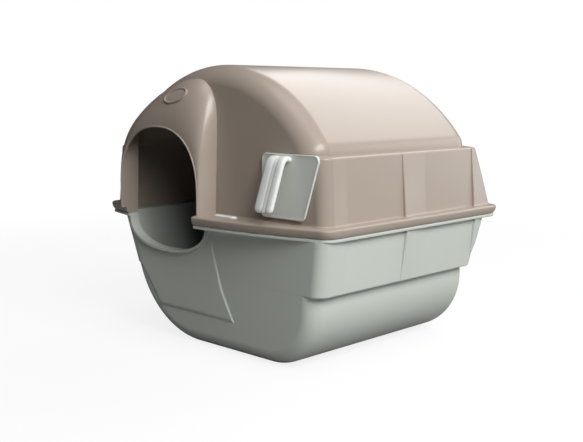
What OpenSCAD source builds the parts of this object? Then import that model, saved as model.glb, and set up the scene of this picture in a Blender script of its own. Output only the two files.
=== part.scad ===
// Covered litter box that cleans itself when it is rolled over on its side.
// X is to the right of the entry, Y runs from the entry to the back, Z is up from the floor.

/* [Rim] */
// Width of the rim where the two halves meet
rim_w = 480; // [420:1:560]
// Depth of the rim at its corners
rim_d = 402; // [360:1:460]
// How far the front edge of the rim bows forward
rim_bow = 30; // [10:1:40]
// Corner radius of the rim
rim_r = 20; // [12:1:40]
// Height of the upper rim's outer face
rim_h = 13.8; // [10:0.2:20]
// Thickness of the lower lip
lip_t = 4.5; // [3:0.1:6]
// How far the lower lip is set in from the upper rim
lip_inset = 2; // [1:0.5:4]
// Height of the joint between the halves above the floor
joint_h = 186; // [150:1:230]
// Gap between the two halves
joint_gap = 0.2; // [0.1:0.1:0.5]
// Bevel along the rim's upper edge
rim_chamfer = 3; // [1:0.5:5]

/* [Walls] */
// Wall thickness of both shells
wall = 3; // [2:0.2:5]
// How much thicker the stepped side bands are than the other walls
band_extra = 0.6; // [0.4:0.1:1.5]
// Distance from the rim's side edge to the upper side wall
side_inset = 14; // [10:1:30]
// How far the upper side wall leans in up to the ledge
side_lean = 4; // [0:1:10]
// How far the walls flare out where they meet the rim
foot = 6; // [3:0.5:8]
// Y of the front wall's foot
front_y = -193; // [-200:1:-170]
// How far the front wall leans back over the cover's height
front_lean = 8; // [0:1:14]
// Distance from the rim's rear edge to the rear wall's foot
rear_inset = 5; // [3:1:20]
// How far the rear wall leans in below the ledge
rear_lean = 36; // [20:1:50]
// Radius of the standing corners
corner_r = 18; // [10:1:30]
// Radius of the roof's front and rear edges
edge_r = 30; // [18:1:40]

/* [Roof] */
// Radius of the roof's arch
roof_r = 249; // [230:1:280]
// Height of the roof's crown above the rim
crown_h = 211; // [190:1:240]
// Half width of the roof body where it meets the ledge
roof_hw = 207; // [190:1:215]
// Height of the side ledge above the rim
ledge_h = 91; // [70:1:110]
// How far the ledge falls towards its outer edge
ledge_fall = 2; // [1:0.5:4]
// Radius that blends the arch into the side
shoulder_r = 28; // [15:1:40]
// How far the roof's rear face leans in
roof_rear_lean = 10; // [0:1:20]

/* [Side panels] */
// Y of the first panel step
step_y = -29; // [-60:1:0]
// Distance between panel steps
step_pitch = 170; // [140:1:190]
// How far a panel step stands out at the rim
step_d = 4; // [2:0.5:6]
// How far a panel step stands out at the ledge
step_d0 = 0.8; // [0.4:0.1:2]
// Length of the ramp after a step
ramp_l = 52; // [30:1:80]

/* [Lower shell] */
// Half width of the lower side wall under the lip
low_hw = 229; // [215:1:232]
// How far the lower side wall leans in down to its ledge
low_lean = 7; // [0:1:15]
// Height of the lower ledge above the floor
low_ledge_h = 108; // [90:1:125]
// Half width of the lower body below the ledge
body_hw = 210; // [195:1:214]
// Radius of the big right corner at the bottom
belly_r = 92; // [60:1:100]
// Half width of the lower body's left side under the lip
left_hw = 202; // [190:1:215]
// Lean of the left side, in degrees
left_a = 19.6; // [10:0.2:24]
// Radius of the big left corner at the bottom
left_r = 141; // [90:1:150]
// Y of the lower front wall under the lip
low_front_y = -200; // [-204:1:-190]
// How far the lower front wall leans back down to the floor
low_front_lean = 8; // [0:1:16]
// Y of the lower rear wall under the lip
low_rear_y = 172; // [160:1:185]
// How far the lower rear wall leans in down to its ledge
low_rear_lean = 20; // [10:1:30]
// How far the lower side band stands proud of the body's front and rear
band_proud = 0.2; // [0.1:0.1:0.5]
// Radius of the lower front and rear edges
low_edge_r = 22; // [12:1:30]

/* [Entry] */
// X of the middle of the entry
entry_x = -81; // [-100:1:-60]
// Half width of the entry hole
entry_hw = 89; // [75:1:92]
// Height of the entry's straight sides above the rim
entry_side_h = 30; // [20:1:40]
// Height of the entry's arch above its straight sides
entry_arch_h = 91; // [70:1:100]
// Squareness of the entry's outline, 1 for an ellipse
entry_k = 0.87; // [0.7:0.01:1]
// Depth of the entry's lower cut below the rim
entry_low_d = 60; // [40:1:70]
// Height of the straight part of that cut
entry_low_side = 4; // [2:1:10]
// How far the hood stands out from the front wall
hood_out = 28; // [20:1:36]
// How much wider than the hole the hood is at the wall
hood_flare = 7; // [5:1:14]
// Height of the hood's top above the rim, where it meets the wall
hood_h = 199; // [180:1:205]
// Height of the hood's straight sides above the rim
hood_side_h = 106; // [80:1:120]
// How far the hood's middle lies to the right of the hole's middle
hood_shift = 2; // [0:1:6]
// How far the hood stays below the roof surface
hood_drop = 15; // [10:1:25]
// Squareness of the hood's outline, 1 for an ellipse
hood_k = 0.62; // [0.5:0.01:0.9]
// How far the lower lip of the entry turns inward
entry_lip_in = 9; // [5:1:14]
// Thickness of the lower lip of the entry
entry_lip_t = 4; // [3:0.5:6]
// How far the panel under the entry stands out
apron_out = 6; // [3:0.5:10]
// X of that panel's right end at its foot
apron_right_x = 49; // [30:1:80]
// Distance from the leaning left side to that panel
apron_in = 23; // [18:1:40]
// Height of that panel's foot above the floor
apron_z = 54; // [40:1:70]
// How much further in the panel's left end lies at its foot
apron_foot_in = 26; // [10:1:40]
// Height of the panel's left corner above the floor
apron_left_z = 110; // [80:1:130]
// Height of the lower bend in the panel's right edge
apron_bend_z = 92; // [70:1:110]
// Distance of that bend from the entry's side
apron_bend_out = 22; // [10:1:30]
// Height of the upper bend in the panel's right edge
apron_neck_z = 142; // [125:1:160]
// Distance of that bend from the entry's side
apron_neck_out = 8; // [4:1:16]
// Width of the bevel round the panel
apron_bevel = 12; // [6:1:16]
// Half length of the bare oval on the hood
badge_a = 24; // [18:1:28]
// Half height of the bare oval on the hood
badge_b = 12; // [9:0.5:15]
// Turn of the oval on the hood, in degrees
badge_turn = 10; // [0:1:20]
// Place of the oval round the hood, in degrees from its right foot
badge_at = 79; // [70:1:110]
// Thickness of the oval
badge_t = 3.4; // [2.6:0.2:5]
// How far the oval stands out of the hood
badge_out = 1.2; // [0.8:0.1:2]
// Gap between the hood's foot and the pad beside it
tab_gap = 9; // [4:1:20]
// Gap between the front wall's foot and that pad
tab_in = 7; // [4:1:12]
// Length of that pad
tab_l = 42; // [20:1:60]
// Depth of that pad
tab_d = 11; // [6:1:14]
// Thickness of that pad
tab_t = 2.5; // [1.5:0.5:4]

/* [Waste tray] */
// Distance from the rim's right edge to the face plate's right end
face_in = 20; // [14:1:26]
// Width of the face plate at its top
face_top_w = 107; // [95:1:110]
// Width of the face plate at its bottom
face_bot_w = 81; // [70:1:90]
// Height of the face plate
face_h = 86; // [70:1:88]
// Height of the face plate's lower edge above the rim
face_z = 6; // [5:1:10]
// Thickness of the face plate
face_t = 3.5; // [3:0.5:6]
// Corner radius of the face plate
face_r = 8; // [4:1:12]
// Margin by which the face plate overlaps the tray's slot
face_lap = 7; // [5:1:10]
// Gap between the face plate and the front wall
face_gap = 0.2; // [0.1:0.1:0.5]
// Depth of the tray behind the face plate
tray_l = 290; // [220:1:310]
// Wall thickness of the tray
tray_wall = 2; // [1.6:0.2:3]
// Clearance of the tray in its slot
tray_gap = 1.2; // [0.8:0.1:2]
// Thickness of the shelf that carries the tray
guide_t = 3; // [2:0.2:4]
// Width of the grip
grip_w = 33; // [25:1:38]
// Distance from the face plate's left edge to the grip's upper end
grip_top_in = 23; // [12:1:42]
// Distance from the face plate's left edge to the grip's lower end
grip_low_in = 14; // [-6:1:20]
// How far the grip's upper end stands out
grip_out_top = 15; // [12:1:20]
// How far the grip's lower end stands out
grip_out_low = 29; // [24:1:36]
// Thickness of the grip's bar
grip_t = 7; // [5:0.5:9]
// Height of the grip's root on the face plate
grip_root = 18; // [12:1:24]
// Height of the grip's free end above the face plate's lower edge
grip_end = 8; // [4:1:20]
// Depth of the groove along the grip
grip_groove = 3; // [1:0.5:4]
// Width of that groove
groove_w = 4; // [2:0.5:6]
// Distance from the grip's left side to that groove
groove_in = 17; // [12:1:20]

/* [Filter] */
// Thickness of the filter grille
grille_t = 3; // [2:0.2:5]
// Distance from the grille's foot to the face plate's left edge
grille_gap = 6; // [5:1:19]
// Height of the grille along its slope
grille_h = 128; // [100:1:135]
// Lean of the grille from upright, in degrees
grille_a = 17; // [5:1:25]
// Number of slots in the grille
slot_n = 18; // [10:1:24]
// Width of one slot
slot_w = 9; // [6:0.5:11]
// Solid edge of the grille above and below its slots
slot_edge = 14; // [10:1:24]
// How deep the grille sits in its rails
rail_bite = 6; // [4:0.5:7]
// Depth of a rail behind its wall
rail_lap = 9; // [8:0.5:12]
// Wall thickness of a rail
rail_t = 3; // [2:0.5:5]
// How far the rails start above the grille's foot
rail_foot = 2; // [1:0.5:6]
// Clearance of the grille in its rails
rail_play = 0.05; // [0.05:0.01:0.1]
// How far the rails and the shelf sink into the walls
rail_sink = 0.4; // [0.2:0.1:0.8]

/* [Latches] */
// Length of a latch along the rim
latch_l = 42; // [30:1:60]
// Radius of a latch pin
pin_r = 1.6; // [1.2:0.1:2.4]
// Radial clearance between pin and latch
pin_gap = 0.05; // [0.02:0.01:0.1]
// Thickness of a latch plate
latch_t = 2.5; // [2:0.1:4]
// Radius of a latch's barrel
barrel_r = 3.5; // [3:0.1:4.5]
// How far the latch pins lie outside the rim
lug_out = 1.5; // [1:0.5:3]
// How far a latch's finger grip stands out
latch_grip = 7; // [4:0.5:10]
// Height of a latch above the rim
latch_cap = 3.5; // [3:0.5:6]
// Thickness of an ear that holds a latch pin
lug_t = 3; // [2:0.5:5]
// Gap between a latch and its ears
lug_gap = 0.4; // [0.3:0.1:1]
// Y of the front left latch
latch_y1 = -70; // [-120:1:-40]
// Y of the rear left latch
latch_y2 = 95; // [60:1:130]

/* [Hidden] */

taupe = [0.66, 0.61, 0.57];
sage = [0.72, 0.75, 0.71];
pale = [0.86, 0.87, 0.85];
steel = [0.7, 0.7, 0.72];
eps = 0.01;

rim_hw = rim_w / 2;
rim_back = rim_d / 2;
rim_z = joint_h + joint_gap;
top_z = rim_z + rim_h;
wall_hw = rim_hw - side_inset;
rear_y = rim_back - rear_inset;
ledge_z = top_z + ledge_h;
band_wall = wall + band_extra;
arch_z = top_z + crown_h - roof_r;
belly_x = body_hw - belly_r;
low_top = joint_h - lip_t;
left_belly_x = left_r * cos(left_a) + left_at(left_r * (1 - sin(left_a)));
entry_z = top_z + entry_side_h;
hood_foot_x = entry_x + hood_shift + entry_hw + hood_flare;
tray_z = top_z + face_z;
face_x0 = rim_hw - face_in - face_top_w;
grille_x = face_x0 - grille_gap;
grip_top_x = face_x0 + grip_top_in;
grip_low_x = face_x0 + grip_low_in;

// Builds a solid from rings of equal point counts, closed by flat ends
module loft(rings, flip = false) {
    n = len(rings[0]);
    m = len(rings);
    pts = [for (r = rings) each r];
    sides = [for (i = [0 : m - 2]) for (j = [0 : n - 1])
        let (a = i * n + j, b = i * n + (j + 1) % n, c = b + n, d = a + n)
        each (flip ? [[a, b, c], [a, c, d]] : [[a, c, b], [a, d, c]])];
    head = [for (j = [0 : n - 1]) j];
    tail = [for (j = [0 : n - 1]) (m - 1) * n + j];
    back = [for (j = [n - 1 : -1 : 0]) j];
    tip = [for (j = [n - 1 : -1 : 0]) (m - 1) * n + j];
    polyhedron(pts, concat(sides, flip ? [back, tail] : [head, tip]));
}

function arc(cx, cy, r, a0, a1, n) =
    [for (i = [0 : n]) let (a = a0 + (a1 - a0) * i / n) [cx + r * cos(a), cy + r * sin(a)]];

function sgn(v) = v < 0 ? -1 : 1;

function power(v, e) = sgn(v) * pow(abs(v), e);

// Plan outline of the rim, set in by i, with its bowed front
function rim_plan(i) =
    let (hw = rim_hw - i, yb = rim_back - i, yf = -rim_back + i, r = rim_r - i * 0.5, k = 14)
    concat(arc(hw - r, yf + r, r, -80, 0, 6), arc(hw - r, yb - r, r, 0, 90, 6),
        arc(-hw + r, yb - r, r, 90, 180, 6), arc(-hw + r, yf + r, r, 180, 260, 6),
        [for (j = [1 : k - 1]) let (x = (-hw + r) + (2 * (hw - r)) * j / k)
            [x, yf - rim_bow * (1 - pow(x / (rim_hw - r), 2))]]);

// How far the side wall is stepped out at a place along it
function step_out(y, d, y0) =
    let (u = y - y0, k = floor(u / step_pitch), v = u - k * step_pitch)
    v < ramp_l ? d * (1 - v / ramp_l) : 0;

// Places along a side where the stepped outline turns
function step_stops(y0, ya, yb) =
    [for (k = [-1 : 1]) for (v = [y0 + k * step_pitch - eps, y0 + k * step_pitch,
        y0 + k * step_pitch + ramp_l]) min(yb, max(ya, v))];

// Plan outline of the lower side band, stepped on the right and flush with the left side
function right_band_plan(xl, hw, yf, yb, r, d) =
    concat(arc(hw - r + step_out(yf + r, d, step_y), yf + r, r, -90, -6, 5),
        [for (y = step_stops(step_y, yf + r, yb - r)) [hw + step_out(y, d, step_y), y]],
        arc(hw - r + step_out(yb - r, d, step_y), yb - r, r, 6, 90, 5),
        arc(xl + r, yb - r, r, 90, 180, 5), arc(xl + r, yf + r, r, 180, 270, 5));

// Plan outline of a side band at one height
function band_plan(hw, yf, yb, r, d) =
    let (stops = step_stops(step_y, yf + r, yb - r),
        right = [for (y = stops) [hw + step_out(y, d, step_y), y]],
        left = [for (j = [len(stops) - 1 : -1 : 0]) [-right[j][0], right[j][1]]])
    concat(arc(hw - r + step_out(yf + r, d, step_y), yf + r, r, -90, -6, 5), right,
        arc(hw - r + step_out(yb - r, d, step_y), yb - r, r, 6, 90, 5),
        arc(-hw + r - step_out(yb - r, d, step_y), yb - r, r, 90, 174, 5), left,
        arc(-hw + r - step_out(yf + r, d, step_y), yf + r, r, 186, 270, 5));

function lift(outline, z) = [for (p = outline) [p[0], p[1], z]];

function front_at(z) = front_y + front_lean * (z - top_z) / crown_h;

function rear_at(z) = rear_y - rear_lean * (z - top_z) / ledge_h;

function roof_rear_at(z) = rear_y - rear_lean - roof_rear_lean * (z - ledge_z) / (crown_h - ledge_h);

// Stepped side band of the upper shell, set in by i
module upper_band(i) {
    z0 = top_z - rim_h + (i > 0 ? -1 : joint_gap);
    zs = [top_z - 2, top_z + foot, ledge_z - ledge_fall - i];
    loft(concat(
        [lift(band_plan(wall_hw + foot - i, front_at(zs[0]) - foot + i, rear_at(zs[0]) + 3 - i,
            corner_r + foot - i, i > 0 ? step_d : 0), zs[0] - (i > 0 ? 16 : 0))],
        [lift(band_plan(wall_hw - i, front_at(zs[1]) + i, rear_at(zs[1]) - i, corner_r - i, step_d), zs[1])],
        [lift(band_plan(wall_hw - side_lean - i, front_at(zs[2]) + i, rear_at(zs[2]) - i, corner_r - i,
            step_d0), zs[2])],
        [lift(band_plan(roof_hw - 6 - i, front_at(ledge_z) + i + 1, rear_at(ledge_z) - i - 1, corner_r - i,
            0), ledge_z - i)]));
}

// Outline of the roof across the box, set in by i, down to height zb
function roof_outline(i, zb) =
    let (hw = roof_hw - i, r = roof_r - i, s = max(shoulder_r - i, 4),
        zf = arch_z + sqrt(pow(r - s, 2) - pow(hw - s, 2)), a = atan2(zf - arch_z, hw - s))
    concat([[hw, zb]], arc(hw - s, zf, s, 0, a, 4), arc(0, arch_z, r, a + 4, 176 - a, 22),
        arc(-hw + s, zf, s, 180 - a, 180, 4), [[-hw, zb]]);

// Stations of a rounded end: how far in and how far along
function round_end(r, n) = [for (k = [0 : n]) let (a = 90 * k / n) [r * (1 - sin(a)), r * (1 - cos(a))]];

// Roof body, set in by i, with rounded front and rear edges
module roof_body(i, zb) {
    r = edge_r - i;
    ends = round_end(r, 5);
    loft(concat(
        [for (e = ends) [for (p = roof_outline(i + e[0], zb)) [p[0], front_at(p[1]) + i + e[1], p[1]]]],
        [for (k = [len(ends) - 1 : -1 : 0]) let (e = ends[k])
            [for (p = roof_outline(i + e[0], zb)) [p[0], roof_rear_at(p[1]) - i - e[1], p[1]]]]), true);
}

// Point on the edge of the entry hole, grown by g, at an angle round it
function hole_edge(g, a) =
    [entry_x + (entry_hw + g) * power(cos(a), entry_k),
        entry_z + (entry_arch_h + g) * power(sin(a), entry_k)];

// Point on the edge of the hood where it grows out of the front wall, set in by i, at an angle round it
function hood_edge(i, a) =
    let (x = entry_x + hood_shift + (entry_hw + hood_flare - i) * power(cos(a), hood_k),
        z = top_z + hood_side_h + (hood_h - hood_side_h - i) * power(sin(a), hood_k))
    [x, min(z, arch_z + sqrt(pow(roof_r - hood_drop - i, 2) - x * x))];

// Closes the points of an arch down to a height
function arch_outline(points, zb) =
    concat([[points[0][0], zb]], points, [[points[len(points) - 1][0], zb]]);

function hole_outline(g, zb) = arch_outline([for (k = [0 : 28]) hole_edge(g, 180 * k / 28)], zb);

function hood_outline(i, zb) = arch_outline([for (k = [0 : 28]) hood_edge(i, 180 * k / 28)], zb);

function blend(a, b, t) = [for (j = [0 : len(a) - 1]) a[j] * (1 - t) + b[j] * t];

// Y of the hood's skin between the wall, at turn 0, and its front edge, at turn 90
function hood_y(z, turn) = front_at(z) * (1 - sin(turn)) + (front_y - hood_out) * sin(turn);

// Point on the hood's skin at an angle round it and a turn from wall to edge
function hood_skin(a, turn) =
    let (p = hood_edge(0, a) * cos(turn) + hole_edge(wall, a) * (1 - cos(turn)))
    [p[0], hood_y(p[1], turn), p[1]];

function unit(v) = v / norm(v);

// Hood round the entry; set in by i it is the space inside
module hood(i) {
    zb = i > 0 ? top_z - rim_h - 2 : top_z - 4;
    wide = hood_outline(i, zb);
    narrow = hole_outline(i > 0 ? 0 : wall, zb);
    root = i > 0 ? 24 : 14;
    steps = 6;
    loft(concat(
        i > 0 ? [[for (p = narrow) [p[0], front_y - hood_out - 20, p[1]]]] : [],
        [for (k = [steps : -1 : 0]) let (a = 90 * k / steps, o = blend(wide, narrow, 1 - cos(a)))
            [for (p = o) [p[0], hood_y(p[1], a) + (i > 0 ? 2 : 0), p[1]]]],
        [[for (p = wide) [p[0], front_at(p[1]) + root, p[1]]]]), true);
}

// Outline of the tray's face, set in by m on every side
function tray_outline(m) =
    let (s = (face_top_w - face_bot_w) / face_h)
    [[face_x0 + m, tray_z + m], [face_x0 + face_bot_w - m * (1 + s * 0.5) + s * m, tray_z + m],
        [face_x0 + face_top_w - m * (1 + s * 0.5) - s * m, tray_z + face_h - m],
        [face_x0 + m, tray_z + face_h - m]];

// Upright prism over an outline across the box
module across(outline, y0, y1) {
    translate([0, y1, 0])
        rotate([90, 0, 0])
            linear_extrude(y1 - y0)
                polygon(outline);
}

module rim_ring(i0, i1, z0, z1) {
    translate([0, 0, z0])
        linear_extrude(z1 - z0)
            difference() {
                polygon(rim_plan(i0));
                polygon(rim_plan(i1));
            }
}

module upper_shell() {
    color(taupe)
        difference() {
            union() {
                roof_body(0, top_z - 2);
                upper_band(0);
                loft([lift(rim_plan(0), rim_z), lift(rim_plan(0), top_z - rim_chamfer),
                    lift(rim_plan(rim_chamfer), top_z)]);
                hood(0);
            }
            roof_body(wall, top_z - rim_h - 2);
            upper_band(band_wall);
            hood(wall);
            across(tray_outline(face_lap), front_y - 12, front_y + 30);
            rim_ring(wall, side_inset + wall, rim_z - 1, top_z - wall);
        }
}

module lower_shell() {
    color(sage)
        union() {
            difference() {
                union() {
                    lower_body(0);
                    lower_band(0);
                    translate([0, 0, low_top])
                        linear_extrude(lip_t)
                            polygon(rim_plan(lip_inset));
                    apron();
                }
                lower_body(wall);
                lower_band(band_wall);
                entry_cut(0, -rim_back - rim_bow - 5, low_front_y + 40);
            }
            entry_lip();
            latch_lugs();
        }
}

// X of the leaning left side at a height
function left_at(z) = -left_hw + tan(left_a) * (low_top - z);

// Outline of the lower body across the box, set in by i
function belly_outline(i, zt) =
    concat([[left_at(zt) + i / cos(left_a), zt]],
        arc(left_belly_x, left_r, max(left_r - i, 10), 180 + left_a, 270, 14),
        arc(belly_x, belly_r, max(belly_r - i, 10), 270, 360, 12), [[body_hw - i, zt]]);

function low_front_at(z) = low_front_y + low_front_lean * (low_top - z) / low_top;

function low_rear_at(z) = low_rear_y - low_rear_lean * (low_top - z) / (low_top - low_ledge_h);

module lower_body(i) {
    zt = low_top + (i > 0 ? lip_t + 1 : 1);
    ends = round_end(low_edge_r - i, 5);
    loft(concat(
        [for (e = ends) [for (p = belly_outline(i + e[0], zt)) [p[0], low_front_at(p[1]) + i + e[1], p[1]]]],
        [for (k = [len(ends) - 1 : -1 : 0]) let (e = ends[k])
            [for (p = belly_outline(i + e[0], zt))
                [p[0], low_rear_y - low_rear_lean - i - e[1], p[1]]]]), true);
}

module lower_band(i) {
    zs = [low_ledge_h - 2 + i, low_ledge_h + i * 0.5, low_top + (i > 0 ? lip_t + 1 : 1)];
    hws = [body_hw - 6, low_hw - low_lean, low_hw];
    ds = [0, step_d0, step_d];
    ins = [1, -band_proud, -band_proud];
    loft([for (k = [0 : 2])
        lift(right_band_plan(left_at(zs[k]) + 1 + i, hws[k] - i, low_front_at(zs[k]) + i + ins[k],
            low_rear_at(zs[k]) - i - ins[k], corner_r - i, ds[k]), zs[k])]);
}

// Shape of the entry's lower cut, grown by g
function cut_outline(g) =
    concat([[entry_x + entry_hw + g, joint_h + 1]],
        [for (k = [0 : 20]) let (a = -180 * k / 20)
            [entry_x + (entry_hw + g) * power(cos(a), entry_k), joint_h - entry_low_side
                - (entry_low_d - rim_h - entry_low_side + g) * power(-sin(a), entry_k)]],
        [[entry_x - entry_hw - g, joint_h + 1]]);

module entry_cut(g, y0, y1) {
    across(cut_outline(g), y0, y1);
}

// Pale lip that lines the entry's lower cut
module entry_lip() {
    difference() {
        across(cut_outline(entry_lip_t), low_front_y - apron_out, low_front_y + entry_lip_in);
        across([for (p = cut_outline(0)) [p[0], p[1] > joint_h ? p[1] + 5 : p[1]]],
            low_front_y - apron_out - 1, low_front_y + entry_lip_in + 1);
        translate([-rim_hw, -rim_back - rim_bow, joint_h])
            cube([rim_w, rim_d, 10]);
    }
}

// Outline of the panel under the entry, grown by g, narrowing on the left as the body does
function apron_outline(g) =
    let (side = entry_x + entry_hw + g / 2, top = low_top - wall)
    [[left_at(apron_z) + apron_in + apron_foot_in - g * 0.7, apron_z - g], [apron_right_x + g, apron_z - g],
        [side + apron_bend_out, apron_bend_z], [side + apron_neck_out, apron_neck_z], [side + 1, top],
        [left_at(low_top) + apron_in + apron_out - g / 2, top],
        [left_at(apron_left_z) + apron_in - g / 2, apron_left_z]];

// Panel that stands out under the entry
module apron() {
    loft([for (q = [[apron_bevel, -2 * wall], [apron_bevel / 6, apron_out - 1], [0, apron_out]])
        [for (p = apron_outline(q[0])) [p[0], low_front_at(p[1]) - q[1], p[1]]]]);
}

// Bare oval on the hood's shoulder, tilted as the shoulder is
module entry_badge() {
    along = unit(hood_skin(badge_at - 8, 45) - hood_skin(badge_at + 8, 45));
    out = unit(cross(along, hood_skin(badge_at, 38) - hood_skin(badge_at, 52)));
    up = cross(out, along);
    place = hood_skin(badge_at, 45) + out * (badge_out - badge_t);
    color(taupe)
        multmatrix([for (j = [0 : 2]) [along[j], up[j], out[j], place[j]]])
            rotate([0, 0, badge_turn])
                linear_extrude(badge_t)
                    polygon([for (k = [0 : 47]) [badge_a * cos(k * 7.5), badge_b * sin(k * 7.5)]]);
}

// Low pad on the front of the rim beside the hood
module front_tab() {
    half = (tab_l - tab_d) / 2;
    color(pale)
        translate([hood_foot_x + tab_gap + tab_l / 2, front_y - tab_in - tab_d / 2, top_z])
            linear_extrude(tab_t)
                union() {
                    square([2 * half, tab_d], center = true);
                    for (s = [-1, 1])
                        translate([s * half, 0])
                            circle(tab_d / 2, $fn = 32);
                }
}

grille_z = top_z + 8;
rail_h = grille_h - 4;
rail_front_y = front_at(grille_z + rail_h) + wall + rail_lap;
rail_rear_y = roof_rear_at(grille_z + rail_h) - wall - rail_lap;

module grille_place() {
    translate([grille_x, 0, grille_z])
        rotate([0, -grille_a, 0])
            children();
}

// Slotted screen that lets clean litter through
module filter_grille() {
    y0 = rail_front_y - rail_bite;
    l = rail_rear_y + rail_bite - y0;
    margin = 2 * rail_bite;
    pitch = (l - 2 * margin) / slot_n;
    color(sage)
        grille_place()
            translate([grille_t, 0, 0])
                rotate([0, -90, 0])
                    linear_extrude(grille_t)
                        difference() {
                            translate([0, y0])
                                square([grille_h, l]);
                            for (k = [0 : slot_n - 1])
                                translate([slot_edge, y0 + margin + (k + 0.5) * pitch - slot_w / 2])
                                    square([grille_h - 2 * slot_edge, slot_w]);
                        }
}

// Channel that holds one edge of the grille; side is 1 at the rear, back its corners on the wall
module grille_rail(y, side, back) {
    deep = rail_bite + 2 * rail_play;
    color(taupe)
        grille_place()
            difference() {
                translate([-rail_t, 0, 0])
                    rotate([90, 0, 90])
                        linear_extrude(grille_t + 2 * rail_t)
                            polygon(concat(back, [[y, rail_h], [y, rail_foot]]));
                translate([-rail_play, side > 0 ? y - 1 : y - deep, -1])
                    cube([grille_t + 2 * rail_play, deep + 1, grille_h + 2]);
            }
}

// Y of a wall's inner face at a height along the grille
function front_face(h) = front_at(grille_z + h * cos(grille_a)) + wall - rail_sink;

function band_face(h) = rear_at(grille_z + h * cos(grille_a)) - band_wall + rail_sink;

function roof_face(h) = roof_rear_at(grille_z + h * cos(grille_a)) - wall + rail_sink;

module grille_rail_front() {
    grille_rail(rail_front_y, -1, [[front_face(rail_foot), rail_foot], [front_face(rail_h), rail_h]]);
}

module grille_rail_rear() {
    mid = (ledge_h - 8) / cos(grille_a);
    grille_rail(rail_rear_y, 1,
        [[band_face(rail_foot), rail_foot], [band_face(mid), mid], [roof_face(rail_h), rail_h]]);
}

guide_z = tray_z + face_lap + tray_gap - face_gap - guide_t;

// Shelf in the upper shell that carries the tray
module tray_guide() {
    y0 = front_at(guide_z) + wall - rail_sink;
    y1 = rear_at(guide_z + guide_t) - band_wall + rail_sink;
    x0 = face_x0 + 1.5;
    color(taupe)
        translate([x0, y0, guide_z])
            cube([wall_hw - side_inset - x0, y1 - y0, guide_t]);
}

// Places a flat piece against the leaning front wall
module on_front() {
    translate([0, front_y - face_gap, top_z])
        rotate([-atan(front_lean / crown_h), 0, 0])
            translate([0, 0, -top_z])
                children();
}

// Drawer that takes the clumps, open at the top
module waste_tray() {
    y0 = front_y;
    m = face_lap + tray_gap;
    color(sage)
        difference() {
            across(tray_outline(m), y0, y0 + tray_l);
            translate([0, 0, 3 * tray_wall])
                across(tray_outline(m + tray_wall), y0 + tray_wall, y0 + tray_l - tray_wall);
            across(tray_outline(m + tray_wall), y0 + tray_wall, y0 + tray_l - tray_wall);
        }
}

module tray_face() {
    o = tray_outline(face_r);
    color(sage)
        on_front()
            rotate([90, 0, 0])
                linear_extrude(face_t)
                    union() {
                        polygon(o);
                        for (k = [0 : 3])
                            translate(o[k])
                                circle(face_r, $fn = 40);
                        for (k = [0 : 3])
                            side_strip(o[k], o[(k + 1) % 4], face_r);
                    }
}

// Flat strip of half width r between two points
module side_strip(p, q, r) {
    d = q - p;
    translate(p)
        rotate(atan2(d[1], d[0]))
            translate([0, -r])
                square([norm(d), 2 * r]);
}

// Grip that bends down from its root near the face plate's top and ends free
module tray_grip() {
    y1 = -face_t;
    y_top = y1 - grip_out_top;
    y_low = y1 - grip_out_low;
    zt = tray_z + face_h - 2;
    zl = tray_z + grip_end;
    profile = [[y1, zt], [y_top + 5, zt - 1], [y_top + 1, zt - 4], [y_top, zt - grip_t],
        [y_low, zl + grip_t], [y_low + 1.5, zl + 1.5], [y_low + grip_t / 2, zl], [y_low + grip_t, zl + 2],
        [y_low + grip_t + 1, zl + grip_t], [y_top + grip_t + 1, zt - grip_root + 4],
        [y1 - 2, zt - grip_root], [y1, zt - grip_root]];
    groove = [[y_top - grip_t, zt - grip_t], [y_low - grip_t, zl - 1], [y_low + grip_groove, zl - 1],
        [y_top + grip_groove, zt - grip_t], [y_top + grip_t, zt - grip_groove], [y_top + grip_t, zt + 1],
        [y_top - grip_t, zt + 1]];
    lean = (grip_low_x - grip_top_x) / (zt - zl);
    color(pale)
        on_front()
            multmatrix([[1, 0, -lean, lean * zt], [0, 1, 0, 0], [0, 0, 1, 0]])
                difference() {
                    grip_bar(0, grip_w, profile);
                    grip_bar(groove_in, groove_w, groove);
                }
}

// Stretch of the grip's width, from a distance along it
module grip_bar(from, w, outline) {
    translate([grip_top_x + from, 0, 0])
        rotate([90, 0, 90])
            linear_extrude(w)
                polygon(outline);
}

// Places of the latches: pivot outside the rim, turned to face outward
pivot_z = low_top - barrel_r - 2;
latch_places = [[[-rim_hw - lug_out, latch_y1, pivot_z], 180], [[-rim_hw - lug_out, latch_y2, pivot_z], 180],
    [[0, rim_back + lug_out, pivot_z], 90]];

module at_latch(k) {
    translate(latch_places[k][0])
        rotate([0, 0, latch_places[k][1]])
            children();
}

// Swing latch: x outward, y along the rim, origin on the pin
module latch(k) {
    h = top_z - pivot_z;
    g = 0.5;
    x0 = -lug_out + g;
    x1 = x0 + latch_t;
    nose = x0 - rim_chamfer + g;
    top = h + latch_cap;
    color(pale)
        at_latch(k)
            difference() {
                union() {
                    rotate([90, 0, 0])
                        cylinder(h = latch_l, r = barrel_r, center = true, $fn = 40);
                    translate([0, latch_l / 2, 0])
                        rotate([90, 0, 0])
                            linear_extrude(latch_l)
                                polygon([[x0 + 1, -1], [x1 + 1, -1], [x1, barrel_r + latch_t],
                                    [x1, h - latch_cap], [x1 + latch_grip, top - 2], [x1 + latch_grip, top],
                                    [nose + 1, top], [nose, top - 2], [nose, h + g],
                                    [x0, h + g - rim_chamfer], [x0, barrel_r]]);
                }
                rotate([90, 0, 0])
                    cylinder(h = latch_l + 2, r = pin_r + pin_gap, center = true, $fn = 40);
            }
}

module latch_left_front() {
    latch(0);
}

module latch_left_rear() {
    latch(1);
}

module latch_rear() {
    latch(2);
}

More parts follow.
